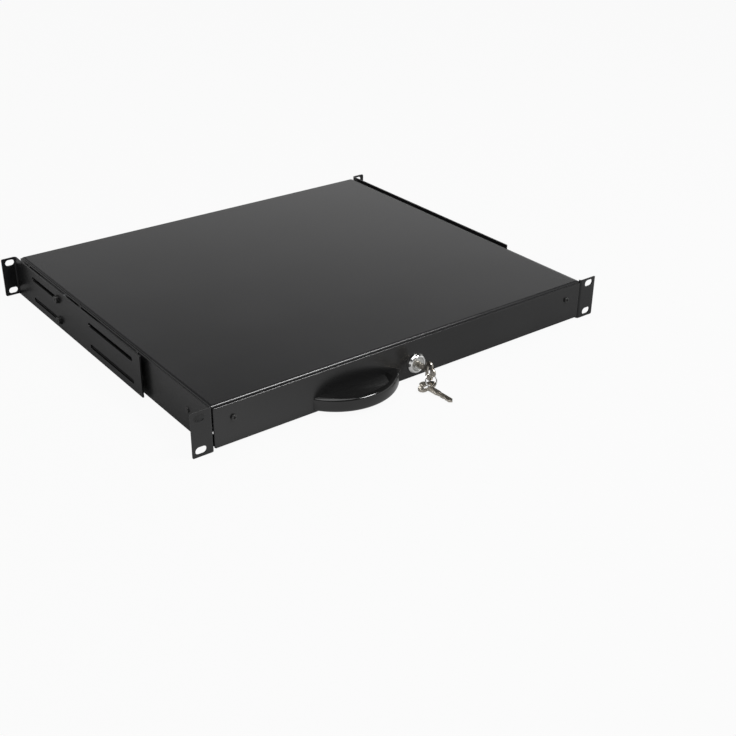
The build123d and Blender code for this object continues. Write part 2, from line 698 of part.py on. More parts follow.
def fascia_nut(x):
    return hex_nut((x, FASCIA_SCREW_Z), TRAY_SHEET, TRAY_SHEET + M3_NUT, M3_NUT_FLATS, M3_RADIUS + TOUCH)


# Handle


def crescent(inset, z0, z1):
    """The crescent's plan, a circle's segment on the fascia, drawn in by an inset at its arc."""
    radius = (HANDLE_CHORD**2 / 4 + HANDLE_REACH**2) / (2 * HANDLE_REACH)
    centre_y = FASCIA_FRONT - HANDLE_REACH + radius
    disc = rod("z", (HANDLE_X, centre_y), z0, z1, radius - inset)
    return disc - box(HANDLE_X - 2 * radius, HANDLE_X + 2 * radius, FASCIA_FRONT, 4 * radius, z0 - 1, z1 + 1)


def handle_dish():
    """The hollow in the handle's top: its floor falls towards the rim and its ends slope up."""
    lowest, above = HANDLE_TOP - DISH_DEPTH_FRONT, HANDLE_TOP + 1
    front = FASCIA_FRONT - HANDLE_REACH + HANDLE_RIM
    side_view = [
        (FASCIA_FRONT, above),
        (FASCIA_FRONT, HANDLE_TOP - DISH_DEPTH_BACK),
        (front, lowest),
        (front, above),
    ]
    end_slope = (DISH_LENGTH - DISH_FLOOR_LENGTH) / 2 / DISH_DEPTH_FRONT
    low_half, high_half = DISH_FLOOR_LENGTH / 2, DISH_LENGTH / 2 + end_slope
    front_view = [(-low_half, lowest), (low_half, lowest), (high_half, above), (-high_half, above)]
    from_side = extrude(Plane.YZ * Polygon(*side_view, align=None), HANDLE_CHORD / 2, both=True)
    from_front = extrude(Plane.XZ * Polygon(*front_view, align=None), 2 * HANDLE_REACH, both=True)
    return crescent(HANDLE_RIM, lowest, above) & (Pos(HANDLE_X, 0, 0) * (from_side & from_front))


def handle():
    """A moulded pull: a thick rim, a dished web on top and room for the fingers below."""
    body = crescent(0, HANDLE_BOTTOM, HANDLE_TOP)
    body = fillet(body.edges().filter_by(GeomType.CIRCLE), HANDLE_ROUND)
    body -= handle_dish()
    body -= crescent(HANDLE_RIM, HANDLE_BOTTOM - 1, HANDLE_TOP - DISH_DEPTH_FRONT - HANDLE_WEB)
    for place in handle_screw_places():
        bore_end = FASCIA_FRONT - HANDLE_BORE
        body += rod("y", place, bore_end - HANDLE_BOSS_END, FASCIA_FRONT, HANDLE_BOSS_RADIUS)
        body -= rod("y", place, bore_end, FASCIA_FRONT + 1, M4_RADIUS + TOUCH)
    return body


def handle_screw(place):
    shank = rod("y", place, FASCIA_FRONT - HANDLE_SCREW_REACH, TRAY_SHEET, M4_RADIUS)
    return pan_head("y", place, TRAY_SHEET, 1, M4_HEAD_RADIUS, M4_HEAD) + shank


# Lock


def lock_housing():
    """A flanged barrel with a stepped bore for the plug."""
    centre = (0.0, LOCK_Z)
    rim_front = FASCIA_FRONT - BEZEL_RIM
    barrel = rod("y", centre, FASCIA_FRONT, LOCK_BODY_END, LOCK_BODY_RADIUS)
    rim = rod("y", centre, rim_front, FASCIA_FRONT, BEZEL_RADIUS)
    nose = Pos(0, (rim_front + LOCK_FACE) / 2, LOCK_Z) * Rot(90, 0, 0) * Cone(
        BEZEL_RADIUS, BEZEL_RADIUS - BEZEL_TAPER, rim_front - LOCK_FACE
    )
    body = barrel + rim + nose
    body -= rod("y", centre, LOCK_FACE - 1, LOCK_BODY_END + 1, LOCK_BORE_RADIUS)
    recess_radius = PLUG_FLANGE_RADIUS + PLUG_CLEARANCE
    return body - rod("y", centre, LOCK_FACE - 1, LOCK_FACE + PLUG_FLANGE, recess_radius)


def lock_nut():
    return hex_nut(
        (0.0, LOCK_Z), TRAY_SHEET, TRAY_SHEET + LOCK_NUT, LOCK_NUT_FLATS, LOCK_BODY_RADIUS + TOUCH
    )


def lock_plug():
    """The part that the key turns: a flanged cylinder with a keyway and a square tail for the cam."""
    centre = (0.0, LOCK_Z)
    body = rod("y", centre, LOCK_FACE, LOCK_BODY_END, LOCK_BORE_RADIUS - PLUG_CLEARANCE)
    body += rod("y", centre, LOCK_FACE, LOCK_FACE + PLUG_FLANGE - PLUG_CLEARANCE, PLUG_FLANGE_RADIUS)
    half = PLUG_TAIL / 2
    body += box(-half, half, LOCK_BODY_END, CAM_REAR, LOCK_Z - half, LOCK_Z + half)
    keyway_x = KEY_SHEET / 2 + KEYWAY_CLEARANCE
    keyway_z = KEY_BLADE_WIDTH / 2 + KEYWAY_CLEARANCE
    keyway_end = KEY_SHOULDER + KEY_BLADE + KEYWAY_END_GAP
    body -= box(-keyway_x, keyway_x, LOCK_FACE - 1, keyway_end, LOCK_Z - keyway_z, LOCK_Z + keyway_z)
    screw_end = CAM_REAR - CAM_SCREW_REACH - CAM_SCREW_END_GAP
    return body - rod("y", centre, screw_end, CAM_REAR + 1, M4_RADIUS + TOUCH)


def lock_cam():
    """The latch plate, pointing to the left while the drawer is unlocked."""
    centre = (0.0, LOCK_Z)
    half = CAM_WIDTH / 2
    tip = half - CAM_REACH
    cam = rod("y", centre, CAM_FRONT, CAM_REAR, LOCK_BODY_RADIUS)
    cam += box(tip, 0, CAM_FRONT, CAM_REAR, LOCK_Z - half, LOCK_Z + half)
    cam += rod("y", (tip, LOCK_Z), CAM_FRONT, CAM_REAR, half)
    square = PLUG_TAIL / 2 + TOUCH
    return cam - box(-square, square, CAM_FRONT - 1, CAM_REAR + 1, LOCK_Z - square, LOCK_Z + square)


def cam_screw():
    centre = (0.0, LOCK_Z)
    shank = rod("y", centre, CAM_REAR - CAM_SCREW_REACH, CAM_REAR, M4_RADIUS)
    return pan_head("y", centre, CAM_REAR, 1, CAM_SCREW_HEAD_RADIUS, M4_HEAD) + shank


# Keys


def flat_key():
    """A key lying flat, its shoulder at the origin, its bow towards -Y and its blade towards +Y."""
    half = KEY_BLADE_WIDTH / 2
    lobe_y = -KEY_HOLE_AT
    outline = Pos(0, lobe_y / 2) * Rectangle(KEY_NECK_WIDTH, -lobe_y)
    outline += Pos(0, (KEY_BLADE - half) / 2) * Rectangle(KEY_BLADE_WIDTH, KEY_BLADE - half)
    outline += Pos(0, KEY_BLADE - half) * Polygon((-half, 0), (half, 0), (0, half), align=None)
    for x in (-KEY_LOBE_OFFSET, KEY_LOBE_OFFSET):
        outline += Pos(x, lobe_y) * Circle(KEY_LOBE_RADIUS)
    outline += Pos(0, lobe_y) * Circle(KEY_BODY_RADIUS)
    outline += Pos(0, -KEY_TIP_LOBE_AT) * Circle(KEY_LOBE_RADIUS)
    outline -= Pos(0, lobe_y) * SlotOverall(KEY_HOLE_LENGTH, KEY_HOLE_WIDTH)
    pitch = (KEY_BLADE - half) / (len(KEY_CUT_DEPTHS) + 1)
    for index, depth in enumerate(KEY_CUT_DEPTHS):
        cut = Polygon((-2 * depth, 0), (2 * depth, 0), (0, -2 * depth), align=None)
        outline -= Pos(half + depth, pitch * (index + 1)) * Rot(0, 0, -90) * cut
    return Pos(0, 0, -KEY_SHEET / 2) * extrude(outline, KEY_SHEET)


def key():
    """The key in the lock, on edge."""
    return Pos(0, KEY_SHOULDER, LOCK_Z) * Rot(0, 90, 0) * flat_key()


def ring_point(down):
    """A point on the ring's middle line, a distance down from the ring's top."""
    lean = radians(RING_LEAN)
    return (RING_TOP[0], RING_TOP[1] - down * sin(lean), RING_TOP[2] - down * cos(lean))


def key_ring():
    """A ring of wire through both keys' bows, leaning forwards."""
    return Pos(*ring_point(RING_RADIUS)) * Rot(90 - RING_LEAN, 0, 0) * Torus(RING_RADIUS, RING_WIRE_RADIUS)


def spare_key():
    """The second key, its bow's side web inside the ring and its tip near the floor."""
    x, y, z = ring_point(RING_RADIUS + SPARE_WEB_DROP)
    bow_middle = KEY_LOBE_OFFSET + KEY_LOBE_RADIUS - SPARE_EDGE_X
    turned = Rot(SPARE_PITCH, 0, 0) * Rot(0, -SPARE_ROLL, 0) * Rot(0, 0, SPARE_YAW)
    flat = Pos(-bow_middle, 0, 0) * turned * Rot(0, 0, 180) * Pos(0, KEY_HOLE_AT, 0) * flat_key()
    return Pos(x, y, z) * flat


os.makedirs("parts", exist_ok=True)

save("top_cover", top_cover())
save("right_side_panel", side_panel())
save("left_side_panel", mirrored(side_panel()))
save("rear_crossmember", rear_crossmember())
save("case_rivets", *case_rivets())

save("right_rear_bracket", rear_bracket())
save("left_rear_bracket", mirrored(rear_bracket()))
save("bracket_standoffs", *at_bracket_screws(standoff))
save("bracket_washers", *at_bracket_screws(bracket_washer))
save("bracket_screws", *at_bracket_screws(bracket_screw))

slide_pieces = {
    "outer_rail": [outer_rail()],
    "middle_rail": [middle_rail()],
    "inner_rail": [inner_rail()],
    "outer_cage": [ball_cage(MIDDLE_RAIL_FROM - CAGE_ROOM, OUTER_BALL_DEPTH, OUTER_BALL_Z)],
    "inner_cage": [ball_cage(INNER_RAIL_FROM - CAGE_ROOM, INNER_BALL_DEPTH, INNER_BALL_Z)],
    "outer_balls": balls(OUTER_BALL_DEPTH, OUTER_BALL_Z),
    "inner_balls": balls(INNER_BALL_DEPTH, INNER_BALL_Z),
}
for piece, solids in slide_pieces.items():
    save(f"right_{piece}", *solids)
    save(f"left_{piece}", *[mirrored(solid) for solid in solids])
save("rail_bumpers", *both_sides([rail_bumper()]))
save("inner_rail_screws", *both_sides([inner_rail_screw(y) for y in TRAY_SCREW_Y]))

save("tray", tray())
save("fascia", fascia())
save("fascia_screws", *[fascia_screw(x) for x in (-FASCIA_SCREW_X, FASCIA_SCREW_X)])
save("fascia_nuts", *[fascia_nut(x) for x in (-FASCIA_SCREW_X, FASCIA_SCREW_X)])
save("handle", handle())
save("handle_screws", *[handle_screw(place) for place in handle_screw_places()])

save("lock_housing", lock_housing())
save("lock_nut", lock_nut())
save("lock_plug", lock_plug())
save("lock_cam", lock_cam())
save("cam_screw", cam_screw())
save("key", key())
save("key_ring", key_ring())
save("spare_key", spare_key())
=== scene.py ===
import math

import bmesh
import bpy
from mathutils import Matrix, Vector


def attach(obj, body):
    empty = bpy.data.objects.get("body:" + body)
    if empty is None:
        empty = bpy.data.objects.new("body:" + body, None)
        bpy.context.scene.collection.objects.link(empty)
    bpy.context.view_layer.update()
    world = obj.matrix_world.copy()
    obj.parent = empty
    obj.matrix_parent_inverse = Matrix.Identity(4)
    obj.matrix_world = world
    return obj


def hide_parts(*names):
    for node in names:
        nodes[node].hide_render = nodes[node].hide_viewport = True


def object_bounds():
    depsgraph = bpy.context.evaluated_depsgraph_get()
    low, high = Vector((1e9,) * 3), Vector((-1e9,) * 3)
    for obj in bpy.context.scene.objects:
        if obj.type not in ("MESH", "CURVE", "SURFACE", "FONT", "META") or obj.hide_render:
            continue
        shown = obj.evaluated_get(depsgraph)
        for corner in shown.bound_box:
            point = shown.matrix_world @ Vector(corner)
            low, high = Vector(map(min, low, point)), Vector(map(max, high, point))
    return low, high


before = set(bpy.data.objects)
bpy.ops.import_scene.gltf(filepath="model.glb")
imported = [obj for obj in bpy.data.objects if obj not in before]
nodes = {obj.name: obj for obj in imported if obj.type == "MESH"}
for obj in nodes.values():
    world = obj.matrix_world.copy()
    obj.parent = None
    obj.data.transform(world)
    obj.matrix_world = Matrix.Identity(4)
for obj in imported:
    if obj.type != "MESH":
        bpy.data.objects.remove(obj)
cad_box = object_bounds()

MM = 0.001
MERGE_DISTANCE = 0.002 * MM
ALONG_Y = (0.0, 1.0, 0.0)
ALONG_Z = (0.0, 0.0, 1.0)
ROUND_STEPS = 96
RIM_STEPS = 180

# Places and sizes in millimetres
FASCIA_FACE = -1.5
HANDLE_X = -69.0
HANDLE_RADIUS = 59.17
HANDLE_CENTRE_Y = 31.67
HANDLE_TOP = -4.5
HANDLE_INNER = 15.0
HANDLE_EDGE_ROUND = 1.1
HANDLE_BOSS_X = 34.0
HANDLE_BOSS_Z = -11.25
HANDLE_BOSS_RADIUS = 3.9
HANDLE_BOSS_LENGTH = 7.4
DISH_MARGIN = 5.0
DISH_BACK_Z = -6.0
DISH_END_X = 34.0
LOCK_Z = -5.8
LOCK_FACE = -5.5
LOCK_AXIS_POINT = (0.0, 0.0, LOCK_Z)
KEYWAY = (2.15, 24.0, 5.05)
CORE_TAIL = (6.9, 2.15, 6.9)
CORE_TAIL_Y = 19.1
KEY_THICKNESS = 1.85
KEY_SHOULDER = -5.8
KEY_HOLE_AT = 15.4
KEY_LOBE_RADIUS = 4.55
KEY_NOTCH_DEPTHS = (0.9, 0.4, 1.1, 0.6)
KEY_NOTCH_PITCH = 3.12
KEY_ROUND = 0.22
CUT_THROUGH = 4.0
RING_TOP = (0.0, -21.2, -9.45)
RING_RADIUS = 6.2
RING_LEAN = 30.0
WIRE_SIDES = 12
WIRE_HALF_WIDTH = 0.6
WIRE_HALF_HEIGHT = 0.24
WIRE_TURN = 715.0
WIRE_RISE = 0.99
WIRE_STEPS = 140


def mm(x, y, z):
    return Vector((x, y, z)) * MM


# Shader nodes


class Link:
    """An output socket, or a plain number, that arithmetic turns into Math nodes."""

    def __init__(self, finish, socket):
        self.finish = finish
        self.socket = socket

    def maths(self, operation, *values):
        return self.finish.node("ShaderNodeMath", {"operation": operation}, dict(enumerate(values)))

    def __add__(self, other):
        return self.maths("ADD", self, other)

    __radd__ = __add__

    def __mul__(self, other):
        return self.maths("MULTIPLY", self, other)

    __rmul__ = __mul__

    def __sub__(self, other):
        return self.maths("SUBTRACT", self, other)

    def __rsub__(self, other):
        return self.maths("SUBTRACT", other, self)

    def over(self, low, high):
        """0 below one value, 1 above the other, and smooth between."""
        settings = {"interpolation_type": "SMOOTHSTEP"}
        values = {"Value": self, "From Min": low, "From Max": high}
        return self.finish.node("ShaderNodeMapRange", settings, values)


class Finish:
    """One material, its shader, and the one method that adds any node."""

    def __init__(self, name, **sockets):
        self.material = bpy.data.materials.new(name)
        self.material.use_nodes = True
        self.tree = self.material.node_tree
        self.shader = self.tree.nodes["Principled BSDF"]
        self.place = self.node("ShaderNodeTexCoord", output="Object")
        self.set(**sockets)

    def node(self, kind, settings=None, values=None, output=0):
        made = self.tree.nodes.new(kind)
        for name, value in (settings or {}).items():
            setattr(made, name, value)
        for name, value in (values or {}).items():
            self.plug(made.inputs[name], value)
        return Link(self, made.outputs[output])

    def plug(self, socket, value):
        if isinstance(value, Link):
            self.tree.links.new(value.socket, socket)
        elif isinstance(value, tuple) and len(value) == 3 and socket.type == "RGBA":
            socket.default_value = (*value, 1.0)
        else:
            socket.default_value = value

    def set(self, **sockets):
        for name, value in sockets.items():
            self.plug(self.shader.inputs[name.replace("_", " ")], value)

    def noise(self, scale, detail=2.0, stretch=(1.0, 1.0, 1.0), shift=(0.0, 0.0, 0.0)):
        """Noise in cycles per metre, drawn out along an axis by a stretch below 1."""
        mapping = {"Vector": self.place, "Location": shift, "Scale": stretch}
        spot = self.node("ShaderNodeMapping", values=mapping)
        return self.node("ShaderNodeTexNoise", values={"Vector": spot, "Scale": scale, "Detail": detail})

    def blend(self, factor, first, second):
        """A colour between two others. The Mix node's colour sockets are inputs 6 and 7 and output 2."""
        return self.node("ShaderNodeMix", {"data_type": "RGBA"}, {0: factor, 6: first, 7: second}, output=2)

    def shade_between(self, factor, other):
        """Mix the surface with another shader."""
        values = {0: factor, 1: Link(self, self.shader.outputs[0]), 2: other}
        surface = self.tree.nodes["Material Output"].inputs["Surface"]
        self.plug(surface, self.node("ShaderNodeMixShader", values=values))

    def bumps(self, height, distance, strength=1.0):
        values = {"Height": height, "Distance": distance, "Strength": strength}
        self.set(Normal=self.node("ShaderNodeBump", values=values))


def powder_coat(name, colour, roughness, shine, shift):
    """Semi-gloss powder coat: fine orange peel, faint cloudiness and a little dust in the grain."""
    coat = Finish(name, Specular_IOR_Level=shine)
    peel = coat.noise(520.0, 2.0, shift=shift)
    grain = coat.noise(2400.0, 1.0, shift=shift)
    cloud = coat.noise(9.0, 3.0, shift=shift)
    lighter = tuple(value * 1.25 for value in colour)
    coat.set(
        Base_Color=coat.blend(cloud.over(0.35, 0.7), colour, lighter),
        Roughness=cloud * 0.05 + grain * 0.05 + (roughness - 0.05),
    )
    coat.bumps(peel * 0.7 + grain * 0.3, 0.00004, 0.5)
    return coat.material


def drawn_steel(name, colour, roughness, grain_along):
    """Rolled or plated steel with fine marks drawn along one axis."""
    steel = Finish(name, Metallic=1.0)
    stretch = tuple(0.03 if axis == grain_along else 1.0 for axis in "xyz")
    marks = steel.noise(2600.0, 3.0, stretch)
    spangle = steel.noise(120.0, 2.0)
    darker = tuple(value * 0.82 for value in colour)
    steel.set(
        Base_Color=steel.blend(spangle.over(0.3, 0.7), darker, colour),
        Roughness=marks * 0.16 + spangle * 0.08 + (roughness - 0.12),
    )
    steel.bumps(marks, 0.00001, 0.6)
    return steel.material


def plated(name, colour, roughness, wear, coarseness=180.0):
    """Bright plating with soft patches and hairline scratches."""
    plate = Finish(name, Metallic=1.0)
    patches = plate.noise(coarseness, 3.0)
    hairs = plate.noise(900.0, 2.0, (1.0, 0.06, 1.0))
    dulled = tuple(value * (1.0 - wear) for value in colour)
    plate.set(
        Base_Color=plate.blend(patches.over(0.45, 0.75), colour, dulled),
        Roughness=patches * 0.1 + hairs.over(0.6, 0.8) * 0.12 + roughness,
    )
    plate.bumps(hairs, 0.000006, 0.5)
    return plate.material


def black_oxide():
    screw = Finish("black_oxide_screw", Metallic=0.0)
    mottle = screw.noise(700.0, 3.0)
    screw.set(
        Base_Color=screw.blend(mottle.over(0.3, 0.7), (0.007, 0.007, 0.007), (0.018, 0.0175, 0.017)),
        Roughness=mottle * 0.2 + 0.22,
    )
    screw.bumps(mottle, 0.00002, 0.5)
    return screw.material


def gloss_moulding():
    """Black moulded plastic: a clean shine, a little flow and fine handling marks."""
    plastic = Finish("gloss_black_moulding")
    flow = plastic.noise(22.0, 2.0, (1.0, 1.0, 2.5))
    rubs = plastic.noise(420.0, 4.0, (0.25, 1.0, 1.0))
    plastic.set(
        Base_Color=plastic.blend(flow.over(0.35, 0.75), (0.005, 0.005, 0.005), (0.009, 0.009, 0.009)),
        Roughness=rubs.over(0.58, 0.8) * 0.12 + flow * 0.04 + 0.1,
    )
    plastic.bumps(flow + rubs * 0.03, 0.00025, 0.25)
    return plastic.material


def bumper_rubber():
    rubber = Finish("bumper_rubber")
    pores = rubber.noise(1500.0, 3.0)
    rubber.set(
        Base_Color=rubber.blend(pores.over(0.3, 0.7), (0.014, 0.014, 0.014), (0.03, 0.03, 0.03)),
        Roughness=pores * 0.1 + 0.72,
    )
    rubber.bumps(pores, 0.00006, 0.6)
    return rubber.material


case_coat = powder_coat("case_powder_coat", (0.008, 0.008, 0.0084), 0.28, 0.4, (0.0, 0.0, 0.0))
cover_coat = powder_coat("cover_powder_coat", (0.008, 0.008, 0.0084), 0.25, 0.5, (3.1, 0.4, 0.0))
fascia_coat = powder_coat("fascia_powder_coat", (0.009, 0.009, 0.0092), 0.24, 0.45, (0.7, 2.2, 0.0))
bracket_coat = powder_coat("bracket_powder_coat", (0.007, 0.007, 0.0074), 0.3, 0.35, (1.3, 0.0, 0.6))
tray_coat = powder_coat("tray_powder_coat", (0.012, 0.012, 0.0125), 0.36, 0.4, (0.0, 1.7, 0.2))
screw_black = black_oxide()
zinc = plated("bright_zinc", (0.62, 0.63, 0.64), 0.24, 0.2)
rail_steel = drawn_steel("rail_zinc_steel", (0.56, 0.57, 0.58), 0.34, "y")
cage_steel = drawn_steel("cage_strip_steel", (0.5, 0.5, 0.49), 0.38, "y")
ball_steel = plated("ball_steel", (0.74, 0.75, 0.77), 0.07, 0.08)
lock_chrome = plated("lock_chrome", (0.78, 0.78, 0.77), 0.08, 0.15)
plug_chrome = plated("plug_chrome", (0.6, 0.6, 0.58), 0.16, 0.45, 420.0)
key_nickel = plated("key_nickel", (0.46, 0.43, 0.38), 0.24, 0.4, 260.0)
ring_wire = plated("ring_wire", (0.68, 0.68, 0.67), 0.12, 0.12)
handle_black = gloss_moulding()
rubber = bumper_rubber()

node_finishes = {
    "top_cover": cover_coat,
    "left_side_panel": case_coat,
    "right_side_panel": case_coat,
    "rear_crossmember": case_coat,
    "case_rivets": screw_black,
    "left_rear_bracket": bracket_coat,
    "right_rear_bracket": bracket_coat,
    "bracket_standoffs": zinc,
    "bracket_washers": screw_black,
    "bracket_screws": screw_black,
    "rail_bumpers": rubber,
    "inner_rail_screws": screw_black,
    "tray": tray_coat,
    "fascia": fascia_coat,
    "fascia_screws": screw_black,
    "fascia_nuts": zinc,
    "handle_screws": zinc,
    "lock_nut": zinc,
    "lock_cam": zinc,
    "cam_screw": zinc,
}
for side in ("left", "right"):
    for rail in ("outer", "middle", "inner"):
        node_finishes[f"{side}_{rail}_rail"] = rail_steel
    for row in ("outer", "inner"):
        node_finishes[f"{side}_{row}_cage"] = cage_steel
        node_finishes[f"{side}_{row}_balls"] = ball_steel

for name, material in node_finishes.items():
    mesh = nodes[name].data
    mesh.materials.clear()
    mesh.materials.append(material)


# Modelling by hand


def only(piece):
    bpy.ops.object.select_all(action="DESELECT")
    piece.select_set(True)
    bpy.context.view_layer.objects.active = piece


def editing(piece):
    only(piece)
    bpy.ops.object.mode_set(mode="EDIT")
    bpy.ops.mesh.select_all(action="DESELECT")


def placed():
    bpy.ops.object.mode_set(mode="OBJECT")


def choose(piece, kind, wanted):
    """Select the faces, edges or vertices of the piece in edit mode that a test wants."""
    bpy.ops.mesh.select_mode(type={"faces": "FACE", "edges": "EDGE", "verts": "VERT"}[kind])
    bpy.ops.mesh.select_all(action="DESELECT")
    work = bmesh.from_edit_mesh(piece.data)
    for element in getattr(work, kind):
        if wanted(element):
            element.select_set(True)
    bmesh.update_edit_mesh(piece.data)


def applied(piece, kind, **settings):
    """Add a modifier with its settings and apply it."""
    only(piece)
    modifier = piece.modifiers.new(kind.lower(), kind)
    for name, value in settings.items():
        setattr(modifier, name, value)
    bpy.ops.object.modifier_apply(modifier=modifier.name)


def cut(piece, tool, operation="DIFFERENCE"):
    """Join or cut with a second shape, which is then deleted."""
    applied(piece, "BOOLEAN", operation=operation, solver="EXACT", object=tool)
    bpy.data.objects.remove(tool)


def halve(piece, point, outwards):
    """Cut a piece flat at a plane, and drop what lies outwards of it."""
    editing(piece)
    bpy.ops.mesh.select_all(action="SELECT")
    bpy.ops.mesh.bisect(plane_co=mm(*point), plane_no=outwards, clear_outer=True, use_fill=True)
    placed()


def block(size, centre):
    bpy.ops.mesh.primitive_cube_add(size=1.0, location=mm(*centre))
    piece = bpy.context.object
    piece.scale = mm(*size)
    only(piece)
    bpy.ops.object.transform_apply(location=True, rotation=True, scale=True)
    return piece


def disc(radius, thickness, centre, turn=(0.0, 0.0, 0.0), sides=64):
    bpy.ops.mesh.primitive_cylinder_add(
        vertices=sides, radius=radius * MM, depth=thickness * MM, location=mm(*centre), rotation=turn
    )
    piece = bpy.context.object
    only(piece)
    bpy.ops.object.transform_apply(location=True, rotation=True, scale=True)
    return piece


def traced(points):
    """A chain of edges, drawn by extruding one vertex from point to point."""
    bpy.ops.object.select_all(action="DESELECT")
    bpy.ops.mesh.primitive_plane_add(size=MM, location=mm(*points[0]))
    piece = bpy.context.object
    bpy.ops.object.mode_set(mode="EDIT")
    bpy.ops.mesh.select_mode(type="VERT")
    bpy.ops.mesh.select_all(action="SELECT")
    bpy.ops.mesh.merge(type="CENTER")
    for first, second in zip(points, points[1:]):
        step = mm(*second) - mm(*first)
        bpy.ops.mesh.extrude_vertices_move(TRANSFORM_OT_translate={"value": step})
    bpy.ops.object.mode_set(mode="OBJECT")
    bpy.ops.object.transform_apply(location=True, rotation=True, scale=True)
    return piece


def turned(points, centre, axis, steps, closed=True):
    """An outline spun all round an axis. One that isn't closed starts and ends on the axis."""
    piece = traced([*points, points[0]] if closed else points)
    editing(piece)
    bpy.ops.mesh.select_all(action="SELECT")
    bpy.ops.mesh.spin(steps=steps, angle=2 * math.pi, center=mm(*centre), axis=axis)
    bpy.ops.mesh.select_all(action="SELECT")
    bpy.ops.mesh.remove_doubles(threshold=MERGE_DISTANCE)
    bpy.ops.mesh.normals_make_consistent(inside=False)
    placed()
    return piece


def joined(pieces):
    """Several pieces as one object, in the first one's name."""
    bpy.ops.object.select_all(action="DESELECT")
    for piece in pieces:
        piece.select_set(True)
    bpy.context.view_layer.objects.active = pieces[0]
    bpy.ops.object.join()
    return pieces[0]


def finished(piece, name, material, body, replaced=(), angle=35.0):
    """Name a piece, give it its finish, and hang it on its body."""
    piece.name = name
    piece.data.name = name
    only(piece)
    bpy.ops.object.transform_apply(location=True, rotation=True, scale=True)
    bpy.ops.object.shade_smooth_by_angle(angle=math.radians(angle))
    piece.data.materials.clear()
    piece.data.materials.append(material)
    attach(piece, body)
    if replaced:
        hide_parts(*replaced)
    return piece


# Crescent handle: a rounded rim, a dished web and two screw bosses


def crescent_handle():
    rim = HANDLE_RADIUS
    section = [
        (HANDLE_INNER, HANDLE_TOP), (rim - 2.9, HANDLE_TOP), (rim - 2.2, -4.6), (rim - 1.5, -4.9),
        (rim - 0.9, -5.35), (rim - 0.4, -6.0), (rim - 0.1, -6.8), (rim, -7.6), (rim, -14.6),
        (rim - 0.2, -15.7), (rim - 0.7, -16.7), (rim - 1.4, -17.4), (rim - 2.2, -17.85),
        (rim - 3.1, -18.0), (rim - 4.1, -17.8), (rim - 4.7, -17.2), (rim - 5.0, -16.2),
        (rim - 5.0, -13.4), (rim - 5.4, -12.4), (rim - 6.4, -12.0), (HANDLE_INNER, -12.0),
    ]
    points = [(HANDLE_X + radius, HANDLE_CENTRE_Y, height) for radius, height in section]
    body = turned(points, (HANDLE_X, HANDLE_CENTRE_Y, 0.0), ALONG_Z, RIM_STEPS)
    halve(body, (0.0, FASCIA_FACE, 0.0), ALONG_Y)
    cut(body, dish_tool())
    applied(
        body, "BEVEL", width=HANDLE_EDGE_ROUND * MM, segments=4, limit_method="ANGLE",
        angle_limit=math.radians(32.0), use_clamp_overlap=True,
    )
    for side in (-1, 1):
        centre = (HANDLE_X + side * HANDLE_BOSS_X, FASCIA_FACE - 3.8, HANDLE_BOSS_Z)
        boss = disc(HANDLE_BOSS_RADIUS, HANDLE_BOSS_LENGTH, centre, (math.pi / 2, 0.0, 0.0), 40)
        editing(boss)
        choose(boss, "edges", lambda edge: all(vert.co.y < (FASCIA_FACE - 7.0) * MM for vert in edge.verts))
        bpy.ops.mesh.bevel(offset=1.2 * MM, segments=4)
        placed()
        cut(body, boss, "UNION")
    return body


def dish_tool():
    """What scoops the dish: a disc inside the rim, cut to a floor that falls forwards and to sloped ends."""
    centre = (HANDLE_X, HANDLE_CENTRE_Y, DISH_BACK_Z)
    tool = disc(HANDLE_RADIUS - DISH_MARGIN, 8.0, centre, sides=240)
    floor_fall = math.atan2(4.0, 21.0)
    end_slope = math.atan2(5.5, 8.5)
    halve(tool, (HANDLE_X, FASCIA_FACE, DISH_BACK_Z), (0.0, math.sin(floor_fall), -math.cos(floor_fall)))
    for side in (1, -1):
        outwards = (side * math.sin(end_slope), 0.0, -math.cos(end_slope))
        halve(tool, (HANDLE_X + side * DISH_END_X, 0.0, HANDLE_TOP), outwards)
    halve(tool, (HANDLE_X, FASCIA_FACE + 2.0, 0.0), ALONG_Y)
    return tool


finished(crescent_handle(), "crescent_handle", handle_black, "tray", ["handle"])


# Cam lock: a bezel and threaded barrel in one, and the plug with its keyway


def lock_barrel():
    thread = []
    place = 16.8
    while place > 3.0:
        thread += [(8.0, place), (7.6, place - 0.5)]
        place -= 1.0
    section = [
        (5.62, 18.0), (7.5, 18.0), (7.7, 17.6), *thread, (7.95, 1.9), (7.95, -1.5), (10.0, -1.5),
        (10.0, -2.5),
        (9.93, -2.9), (9.7, -3.2), (9.1, -4.3), (8.7, -4.95), (8.3, -5.3), (7.9, -5.46), (7.4, -5.5),
        (7.0, -5.4), (6.8, -5.1), (6.7, -4.6), (6.7, -3.98), (5.62, -3.98),
    ]
    points = [(radius, y, LOCK_Z) for radius, y in section]
    return turned(points, LOCK_AXIS_POINT, ALONG_Y, ROUND_STEPS)


def lock_core():
    section = [
        (0.0, 18.0), (5.3, 18.0), (5.5, 17.7), (5.5, -4.05), (6.55, -4.05), (6.58, -4.9), (6.4, -5.15),
        (5.9, -5.25), (5.2, -5.25), (4.9, -5.4), (4.4, -5.5), (0.0, -5.5),
    ]
    points = [(radius, y, LOCK_Z) for radius, y in section]
    core = turned(points, LOCK_AXIS_POINT, ALONG_Y, ROUND_STEPS, closed=False)
    cut(core, block(KEYWAY, (0.0, LOCK_FACE + 11.0, LOCK_Z)))
    tail = block(CORE_TAIL, (0.0, CORE_TAIL_Y, LOCK_Z))
    editing(tail)
    choose(tail, "edges", lambda edge: abs(edge.verts[0].co.y - edge.verts[1].co.y) > MM)
    bpy.ops.mesh.bevel(offset=0.9 * MM, segments=4)
    placed()
    return joined([core, tail])


